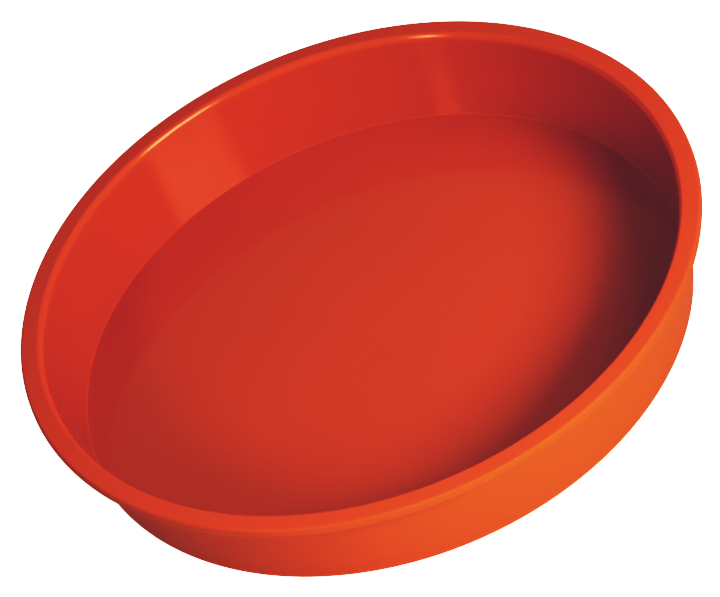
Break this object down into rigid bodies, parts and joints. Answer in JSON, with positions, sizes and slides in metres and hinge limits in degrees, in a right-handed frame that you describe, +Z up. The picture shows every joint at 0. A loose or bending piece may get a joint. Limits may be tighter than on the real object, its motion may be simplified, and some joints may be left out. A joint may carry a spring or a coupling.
{
  "type": "baking pan",
  "caption": "Round silicone baking pan with a flat floor, a plain gently flared wall and a flat stiffened rim, for baking cakes in an oven.",
  "frame": {"origin": "middle of the underside of the floor, on the pan's upright axis", "axes": "+Z up along the pan's axis, from the underside to the open mouth; X and Y lie level, and all directions round the axis are alike"},
  "size_m": [0.2774, 0.2774, 0.0423],
  "materials": {
    "silicone": "smooth moulded silicone, satin to glossy, orange red",
    "ring_steel": "drawn stainless wire"
  },
  "bodies": {
    "root": {"pan_body": "silicone", "rim_ring": "ring_steel", "rim_strip": "silicone"}
  },
  "joints": []
}
